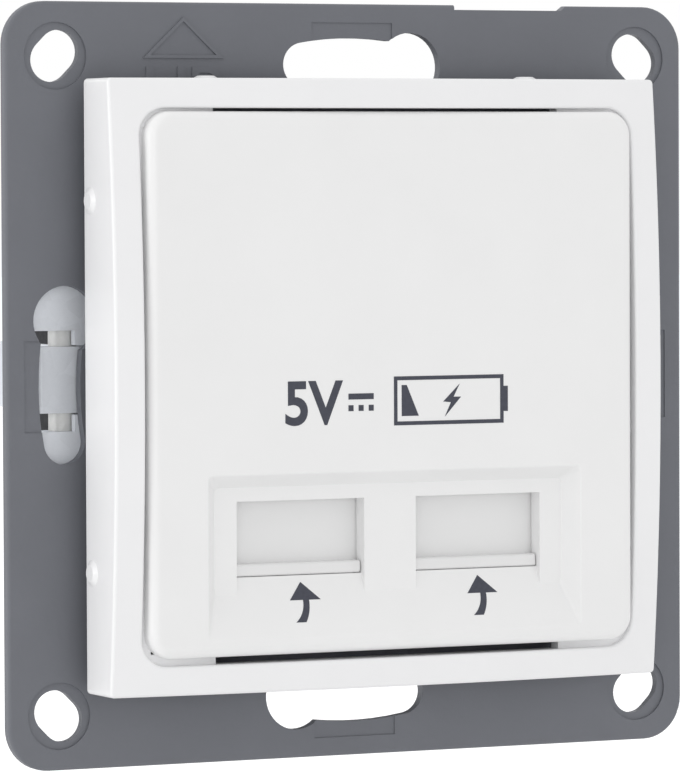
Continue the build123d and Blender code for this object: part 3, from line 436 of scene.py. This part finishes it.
def add_letters(bm, words, left, bottom, width, height, weight=LETTER_WEIGHT):
    """Adds plain lettering, fitted into a box. The weight makes its strokes bolder."""
    curve = bpy.data.curves.new("letters", "FONT")
    curve.body = words
    curve.resolution_u = LETTER_STEPS
    curve.offset = weight
    holder = bpy.data.objects.new("letters", curve)
    bpy.context.scene.collection.objects.link(holder)
    bpy.context.view_layer.update()
    mesh = bpy.data.meshes.new_from_object(holder.evaluated_get(bpy.context.evaluated_depsgraph_get()))
    before = set(bm.verts)
    bm.from_mesh(mesh)
    made = [vert for vert in bm.verts if vert not in before]
    bpy.data.objects.remove(holder)
    bpy.data.curves.remove(curve)
    bpy.data.meshes.remove(mesh)
    xs = [vert.co.x for vert in made]
    ys = [vert.co.y for vert in made]
    bmesh.ops.translate(bm, vec=(-min(xs), -min(ys), 0.0), verts=made)
    bmesh.ops.scale(bm, vec=(width / (max(xs) - min(xs)), height / (max(ys) - min(ys)), 1.0), verts=made)
    bmesh.ops.translate(bm, vec=(left, bottom, 0.0), verts=made)


def thicken(bm, rise, sink):
    """Turns a flat drawing into a film that stands proud by rise and reaches sink below its seat."""
    bmesh.ops.remove_doubles(bm, verts=bm.verts, dist=MERGE_REACH)
    bmesh.ops.recalc_face_normals(bm, faces=bm.faces)
    made = bmesh.ops.extrude_face_region(bm, geom=bm.faces[:])["geom"]
    top = [item for item in made if isinstance(item, bmesh.types.BMVert)]
    bmesh.ops.translate(bm, vec=(0.0, 0.0, rise + sink), verts=top)
    bmesh.ops.translate(bm, vec=(0.0, 0.0, -sink), verts=bm.verts)
    bmesh.ops.recalc_face_normals(bm, faces=bm.faces)


def make_piece(name, bm, material, place=None, smooth=False):
    """Makes a finished object at the origin, with its place in its mesh."""
    if place is not None:
        bmesh.ops.transform(bm, matrix=place, verts=bm.verts)
    for face in bm.faces:
        face.smooth = smooth
    mesh = bpy.data.meshes.new(name)
    bm.to_mesh(mesh)
    bm.free()
    mesh.materials.append(material)
    piece = bpy.data.objects.new(name, mesh)
    bpy.context.scene.collection.objects.link(piece)
    return piece


def face_height():
    """Height of the centre plate's flat front in front of the wall plane."""
    return -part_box("centre_plate")[0].y


class SOCKET_OT_finish_mouldings(Operator):
    """Give the moulded plastic pieces their finish"""
    bl_idname = "socket.finish_mouldings"
    bl_label = "Finish Mouldings"

    def execute(self, context):
        colours = context.scene.socket_colours
        dress(
            "plate_grey",
            moulded,
            colours.plate,
            roughness=0.55,
            grain=0.4 * MM,
            depth=0.012 * MM,
            specular=0.3,
            drift=0.025,
        )
        dress("frame_white", moulded, colours.frame, roughness=0.36, grain=0.5 * MM, depth=0.003 * MM)
        dress("face_white", moulded, colours.face, roughness=0.4, grain=0.5 * MM, depth=0.003 * MM)
        dress("shutter_white", moulded, colours.shutter, roughness=0.42, grain=0.4 * MM, depth=0.003 * MM)
        # The chassis grey, paler than the support plate, is partly painted light: it lightens the shade in
        # the gaps round the centre plate, where the chassis shows
        dress(
            "chassis_black",
            moulded,
            screen(116, 117, 124),
            roughness=0.55,
            grain=0.4 * MM,
            depth=0.01 * MM,
            specular=0.2,
        )
        dress(
            "housing_black",
            moulded,
            colours.housing,
            roughness=0.6,
            grain=0.55 * MM,
            depth=0.03 * MM,
            specular=0.15,
            drift=0.03,
        )
        dress("tongue_white", moulded, screen(224, 224, 220), roughness=0.5, grain=0.3 * MM, depth=0.003 * MM)
        dress("bobbin_plastic", moulded, screen(40, 40, 42), roughness=0.5, grain=0.4 * MM, depth=0.008 * MM)
        dress("chip_black", moulded, screen(32, 32, 34), roughness=0.6, grain=0.15 * MM, depth=0.006 * MM)
        return {"FINISHED"}


class SOCKET_OT_finish_metals(Operator):
    """Give the sheet, turned and plated pieces their finish"""
    bl_idname = "socket.finish_metals"
    bl_label = "Finish Metals"

    def execute(self, context):
        colours = context.scene.socket_colours
        dress("zinc_sheet", galvanised, colours.zinc)
        dress("zinc_turned", drawn_metal, screen(205, 206, 206), roughness=0.34, along=(1.0, 0.15, 1.0))
        pin_zinc = galvanised("zinc_pin", screen(204, 204, 202))
        for side in SIDES:
            dress_node("claw_pin_" + side, pin_zinc)
        dress("spring_steel", drawn_metal, screen(186, 187, 190), roughness=0.3, along=(1.0, 1.0, 0.2))
        dress("shell_nickel", drawn_metal, screen(212, 210, 206), roughness=0.24, along=(1.0, 0.1, 1.0))
        dress("contact_gold", drawn_metal, screen(232, 200, 120), roughness=0.22, along=(1.0, 0.1, 1.0))
        dress("terminal_brass", drawn_metal, colours.brass, roughness=0.3, along=(0.1, 1.0, 1.0))
        return {"FINISHED"}


class SOCKET_OT_finish_electronics(Operator):
    """Give the boards and what stands on them their finish"""
    bl_idname = "socket.finish_electronics"
    bl_label = "Finish Electronics"

    def execute(self, context):
        dress("board_green", solder_mask, context.scene.socket_colours.board)
        dress("ferrite", sintered, screen(62, 61, 60))
        dress("winding_tape", taped_winding, screen(222, 186, 70))
        dress("disc_coat", dipped_coat, screen(46, 96, 168))
        dress("fuse_coat", banded_coat, screen(92, 138, 150), node="fuse_resistor")
        for node, slot in SLOT_OF.items():
            if slot == "capacitor_sleeve":
                dress_node(node, sleeved_can("sleeve_" + node, screen(44, 48, 72), node))
        return {"FINISHED"}


class SOCKET_OT_print_face(Operator):
    """Print the rating and the battery sign on the centre plate"""
    bl_idname = "socket.print_face"
    bl_label = "Print Face"

    rating_left = -11.5 * MM
    rating_bottom = -3.72 * MM
    figures_width = 5.9 * MM
    figures_weight = 0.022
    current_width = 2.6 * MM
    current_gap = 0.55 * MM
    cell_left = -0.36 * MM
    cell_bottom = -3.9 * MM
    nub_width = 0.45 * MM
    nub_height = 2.35 * MM
    # Corners in millimetres from the battery's lower left
    charge = ((0.8, 0.85), (2.57, 0.85), (1.33, 3.72), (0.8, 3.72))
    bolt = ((6.85, 3.75), (5.12, 2.11), (5.92, 2.03), (5.28, 0.7), (6.98, 2.53), (6.2, 2.54))

    def execute(self, context):
        marks = context.scene.socket_marks
        ink = printed("print_ink", context.scene.socket_colours.ink)
        place = front_place(face_height())
        bm = bmesh.new()
        add_letters(
            bm,
            "5V",
            self.rating_left,
            self.rating_bottom,
            self.figures_width,
            marks.sign_height,
            self.figures_weight,
        )
        self.draw_current_sign(bm, marks)
        thicken(bm, marks.film, marks.film)
        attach(make_piece("print_rating", bm, ink, place), "socket")
        bm = bmesh.new()
        self.draw_battery(bm, marks)
        thicken(bm, marks.film, marks.film)
        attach(make_piece("print_battery", bm, ink, place), "socket")
        return {"FINISHED"}

    def draw_current_sign(self, bm, marks):
        """Direct current: a full line above three dashes."""
        left = self.rating_left + self.figures_width + self.current_gap
        middle = self.rating_bottom + marks.sign_height / 2
        dash = self.current_width / 5
        add_plate(bm, left, middle + dash / 2, self.current_width, marks.sign_weight)
        for number in range(3):
            low = middle - dash / 2 - marks.sign_weight
            add_plate(bm, left + 2 * number * dash, low, dash, marks.sign_weight)

    def draw_battery(self, bm, marks):
        """Battery outline with its terminal, a wedge of charge and a bolt."""
        add_plate(bm, self.cell_left, self.cell_bottom, marks.cell_width, marks.cell_height)
        inner = bm.faces[:]
        bmesh.ops.inset_individual(bm, faces=inner, thickness=marks.cell_stroke, use_even_offset=True)
        bmesh.ops.delete(bm, geom=inner, context="FACES")
        nub_bottom = self.cell_bottom + (marks.cell_height - self.nub_height) / 2
        add_plate(bm, self.cell_left + marks.cell_width, nub_bottom, self.nub_width, self.nub_height)
        for outline in (self.charge, self.bolt):
            add_outline(bm, [(self.cell_left + x * MM, self.cell_bottom + y * MM) for x, y in outline])


class SOCKET_OT_print_arrows(Operator):
    """Print the arrows that show how the shutters lift"""
    bl_idname = "socket.print_arrows"
    bl_label = "Print Arrows"

    ramp_run = 3.9 * MM
    ramp_rise = 1.6 * MM
    ramp_foot = 1.6 * MM
    tip_height = 4.9 * MM
    tip_shift = 0.1 * MM
    head_shift = 0.2 * MM
    stem_shift = 0.265 * MM
    stem_width = 0.61 * MM
    inner_bend = 2.7 * MM
    outer_bend = 3.9 * MM
    bend_steps = 10

    def execute(self, context):
        marks = context.scene.socket_marks
        ink = printed("arrow_ink", context.scene.socket_colours.ink)
        slope = Vector((self.ramp_run, -self.ramp_rise)).normalized()
        turn = Matrix.Rotation(pi / 2 - asin(-slope.y), 4, "X")
        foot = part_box("centre_plate")[0].z + self.ramp_foot
        for side in SIDES:
            low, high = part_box("shutter_" + side)
            tip = Vector(((low.x + high.x) / 2 + self.tip_shift, 0.0, foot + self.tip_height))
            tip.y = -face_height() + self.tip_height * self.ramp_rise / self.ramp_run
            bm = bmesh.new()
            self.draw_arrow(bm, marks)
            thicken(bm, marks.film, marks.film)
            arrow = make_piece("print_arrow_" + side, bm, ink, Matrix.Translation(tip) @ turn)
            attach(arrow, "socket")
        return {"FINISHED"}

    def draw_arrow(self, bm, marks):
        """Arrow with its tip at the origin and a stem that bends towards the lower left."""
        head_left = self.head_shift - marks.arrow_width / 2
        head_right = self.head_shift + marks.arrow_width / 2
        add_outline(bm, [(0.0, 0.0), (head_left, -marks.arrow_head), (head_right, -marks.arrow_head)])
        stem_left = self.stem_shift - self.stem_width / 2
        stem_right = self.stem_shift + self.stem_width / 2
        chains = []
        for start, bend in ((stem_left, self.inner_bend), (stem_right, self.outer_bend)):
            vert = bm.verts.new((start, -marks.arrow_head, 0.0))
            before = set(bm.edges)
            bmesh.ops.spin(
                bm,
                geom=[vert],
                cent=(start - bend, -marks.arrow_head, 0.0),
                axis=(0.0, 0.0, -1.0),
                angle=asin(marks.arrow_stem / bend),
                steps=self.bend_steps,
                use_merge=False,
            )
            chains += [edge for edge in bm.edges if edge not in before]
        bmesh.ops.bridge_loops(bm, edges=chains)


class SOCKET_OT_raise_letters(Operator):
    """Raise the direction word on the support plate and the wire letters on the housing"""
    bl_idname = "socket.raise_letters"
    bl_label = "Raise Letters"

    word_middle = -17.4 * MM
    word_top = 29.3 * MM
    word_width = 7.6 * MM
    word_height = 3.6 * MM
    triangle_rise = 0.15 * MM
    wire_letter_width = 2.0 * MM
    wire_letter_height = 3.0 * MM
    wire_letter_top = 9.6 * MM
    wire_letter_rise = 0.25 * MM

    def execute(self, context):
        marks = context.scene.socket_marks
        plate = frame["nodes"]["support_plate"].data.materials[0]
        housing = frame["nodes"]["rear_housing"].data.materials[0]
        bm = bmesh.new()
        left = self.word_middle - self.word_width / 2
        add_letters(bm, "UP", left, self.word_top - self.word_height, self.word_width, self.word_height)
        thicken(bm, marks.letter_rise, marks.letter_rise)
        plate_front = -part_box("support_plate")[0].y - self.triangle_rise
        word = make_piece("plate_direction_word", bm, plate, front_place(plate_front))
        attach(word, "socket")
        for node, letter in (("terminal_line", "L"), ("terminal_neutral", "N")):
            low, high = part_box(node)
            middle = -(low.x + high.x) / 2
            bm = bmesh.new()
            add_letters(
                bm,
                letter,
                middle - self.wire_letter_width / 2,
                self.wire_letter_top - self.wire_letter_height,
                self.wire_letter_width,
                self.wire_letter_height,
            )
            thicken(bm, self.wire_letter_rise, self.wire_letter_rise)
            place = rear_place(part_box("rear_housing")[1].y)
            piece = make_piece("housing_letter_" + letter, bm, housing, place)
            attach(piece, "socket")
        return {"FINISHED"}


class SOCKET_OT_wind_springs(Operator):
    """Wind the coil springs that shorten behind the shutters"""
    bl_idname = "socket.wind_springs"
    bl_label = "Wind Springs"

    wire = 0.35 * MM
    wire_sides = 10
    closed_pitch = 1.05
    end_turns = 1
    open_turns = 8
    turn_steps = 24

    def execute(self, context):
        for side in SIDES:
            node = "shutter_spring_" + side
            low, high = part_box(node)
            bm = bmesh.new()
            self.wind(bm, low, high)
            steel = frame["nodes"][node].data.materials[0]
            spring = make_piece("coil_spring_" + side, bm, steel, smooth=True)
            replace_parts(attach(spring, "socket"), node)
            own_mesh(spring)
        return {"FINISHED"}

    def wind(self, bm, low, high):
        """Closed turn, open turns and closed turn, wound upwards in one wire."""
        middle = Vector(((low.x + high.x) / 2, (low.y + high.y) / 2, 0.0))
        radius = (high.x - low.x - self.wire) / 2
        start = Vector((middle.x + radius, middle.y, low.z + self.wire / 2))
        turn = Matrix.Translation(start) @ Matrix.Rotation(pi / 2, 4, "X")
        bmesh.ops.create_circle(bm, segments=self.wire_sides, radius=self.wire / 2, matrix=turn)
        geom = bm.verts[:] + bm.edges[:]
        closed = self.wire * self.closed_pitch
        open_pitch = (high.z - low.z - self.wire - 2 * self.end_turns * closed) / self.open_turns
        end = (self.end_turns, closed)
        for turns, pitch in (end, (self.open_turns, open_pitch), end):
            geom = bmesh.ops.spin(
                bm,
                geom=geom,
                cent=middle,
                axis=(0.0, 0.0, 1.0),
                dvec=(0.0, 0.0, pitch / self.turn_steps),
                angle=2 * pi * turns,
                steps=self.turn_steps * turns,
                use_merge=False,
            )["geom_last"]
        bmesh.ops.holes_fill(bm, edges=bm.edges)
        bmesh.ops.recalc_face_normals(bm, faces=bm.faces)


class SOCKET_OT_set_stage(Operator):
    """Set the floor, lamps, background and camera"""
    bl_idname = "socket.set_stage"
    bl_label = "Set Stage"

    floor_radius = 4.0
    floor_sides = 96
    floor_white = 0.92
    floor_glow = 0.3
    floor_roughness = 0.9
    sensor_width = 36.0
    view_start = 0.01
    view_end = 20.0
    # Each lamp's name, place, width and power
    lamps = (
        ("key", (-0.5, -0.85, 0.0), 0.4, 1.0),
        ("side", (-0.95, 0.1, 0.05), 0.5, 2.3),
        ("top", (0.1, 0.1, 0.95), 0.5, 0.7),
        ("back", (0.3, 0.8, 0.4), 0.6, 0.4),
    )

    def execute(self, context):
        stage = context.scene.socket_stage
        context.scene.view_settings.view_transform = "Standard"
        self.lay_floor(stage)
        self.hang_lamps(context)
        self.paint_background(context, stage)
        self.place_camera(context, stage)
        return {"FINISHED"}

    def seen_white(self, nodes, links):
        """1 for rays from the camera, a gloss or a glass, which see the white background."""
        path = nodes.new("ShaderNodeLightPath")
        seen = path.outputs["Is Camera Ray"]
        for name in ("Is Glossy Ray", "Is Transmission Ray"):
            either = nodes.new("ShaderNodeMath")
            either.operation = "MAXIMUM"
            links.new(seen, either.inputs[0])
            links.new(path.outputs[name], either.inputs[1])
            seen = either.outputs[0]
        return seen

    def lay_floor(self, stage):
        bm = bmesh.new()
        bmesh.ops.create_circle(bm, cap_ends=True, segments=self.floor_sides, radius=self.floor_radius)
        material = bpy.data.materials.new("floor_pale")
        material.use_nodes = True
        nodes, links = material.node_tree.nodes, material.node_tree.links
        shader = nodes["Principled BSDF"]
        shader.inputs["Base Color"].default_value = (*[self.floor_white] * 3, 1.0)
        shader.inputs["Roughness"].default_value = self.floor_roughness
        shader.inputs["Specular IOR Level"].default_value = 0.0
        glow = nodes.new("ShaderNodeEmission")
        glow.inputs["Color"].default_value = (*[self.floor_glow] * 3, 1.0)
        links.new(self.seen_white(nodes, links), glow.inputs["Strength"])
        both = nodes.new("ShaderNodeAddShader")
        links.new(shader.outputs[0], both.inputs[0])
        links.new(glow.outputs[0], both.inputs[1])
        links.new(both.outputs[0], nodes["Material Output"].inputs["Surface"])
        place = Matrix.Translation((0.0, 0.0, cad_low.z - stage.floor_drop))
        make_piece("floor", bm, material, place)

    def hang_lamps(self, context):
        for name, place, size, power in self.lamps:
            lamp = bpy.data.lights.new("lamp_" + name, "AREA")
            lamp.shape = "DISK"
            lamp.size = size
            lamp.energy = power
            holder = bpy.data.objects.new("lamp_" + name, lamp)
            holder.location = place
            holder.rotation_mode = "QUATERNION"
            holder.rotation_quaternion = Vector(place).to_track_quat("Z", "Y")
            context.scene.collection.objects.link(holder)

    def paint_background(self, context, stage):
        world = bpy.data.worlds.new("studio")
        world.use_nodes = True
        nodes, links = world.node_tree.nodes, world.node_tree.links
        light = nodes["Background"]
        light.inputs["Color"].default_value = (1.0, 1.0, 1.0, 1.0)
        light.inputs["Strength"].default_value = stage.ambient
        white = nodes.new("ShaderNodeBackground")
        white.inputs["Color"].default_value = (1.0, 1.0, 1.0, 1.0)
        white.inputs["Strength"].default_value = 1.0
        either = nodes.new("ShaderNodeMixShader")
        links.new(self.seen_white(nodes, links), either.inputs["Fac"])
        links.new(light.outputs[0], either.inputs[1])
        links.new(white.outputs[0], either.inputs[2])
        links.new(either.outputs[0], nodes["World Output"].inputs["Surface"])
        context.scene.world = world

    def place_camera(self, context, stage):
        camera = bpy.data.cameras.new("camera")
        camera.lens = stage.lens
        camera.sensor_width = self.sensor_width
        camera.clip_start = self.view_start
        camera.clip_end = self.view_end
        tilt = Matrix.Rotation(pi / 2 - stage.elevation, 4, "X")
        level = Matrix.Rotation(stage.azimuth, 4, "Z") @ tilt
        holder = bpy.data.objects.new("camera", camera)
        holder.rotation_mode = "QUATERNION"
        holder.rotation_quaternion = level.to_quaternion() @ Quaternion((0.0, 0.0, 1.0), stage.roll)
        holder.location = Vector(stage.aim) + level.col[2].to_3d() * stage.distance
        context.scene.collection.objects.link(holder)
        context.scene.camera = holder


class SOCKET_PT_looks(Panel):
    """Sidebar list of the socket's finishes, marks and stage"""
    bl_idname = "SOCKET_PT_looks"
    bl_label = "Wall Socket"
    bl_space_type = "VIEW_3D"
    bl_region_type = "UI"
    bl_category = "Socket"

    def draw(self, context):
        for operator in OPERATORS:
            self.layout.operator(operator.bl_idname)
        for group in (context.scene.socket_colours, context.scene.socket_marks, context.scene.socket_stage):
            box = self.layout.box()
            for name in group.__annotations__:
                box.prop(group, name)


GROUPS = {"socket_colours": SocketColours, "socket_marks": SocketMarks, "socket_stage": SocketStage}
OPERATORS = (
    SOCKET_OT_finish_mouldings,
    SOCKET_OT_finish_metals,
    SOCKET_OT_finish_electronics,
    SOCKET_OT_print_face,
    SOCKET_OT_print_arrows,
    SOCKET_OT_raise_letters,
    SOCKET_OT_wind_springs,
    SOCKET_OT_set_stage,
)


def register():
    for group in GROUPS.values():
        bpy.utils.register_class(group)
    for name, group in GROUPS.items():
        setattr(bpy.types.Scene, name, PointerProperty(type=group))
    for kind in (*OPERATORS, SOCKET_PT_looks):
        bpy.utils.register_class(kind)


def unregister():
    for kind in (SOCKET_PT_looks, *reversed(OPERATORS)):
        bpy.utils.unregister_class(kind)
    for name, group in GROUPS.items():
        delattr(bpy.types.Scene, name)
        bpy.utils.unregister_class(group)


def main():
    register()
    for operator in OPERATORS:
        getattr(bpy.ops.socket, operator.bl_idname.split(".")[1])()


if __name__ == "__main__":
    main()
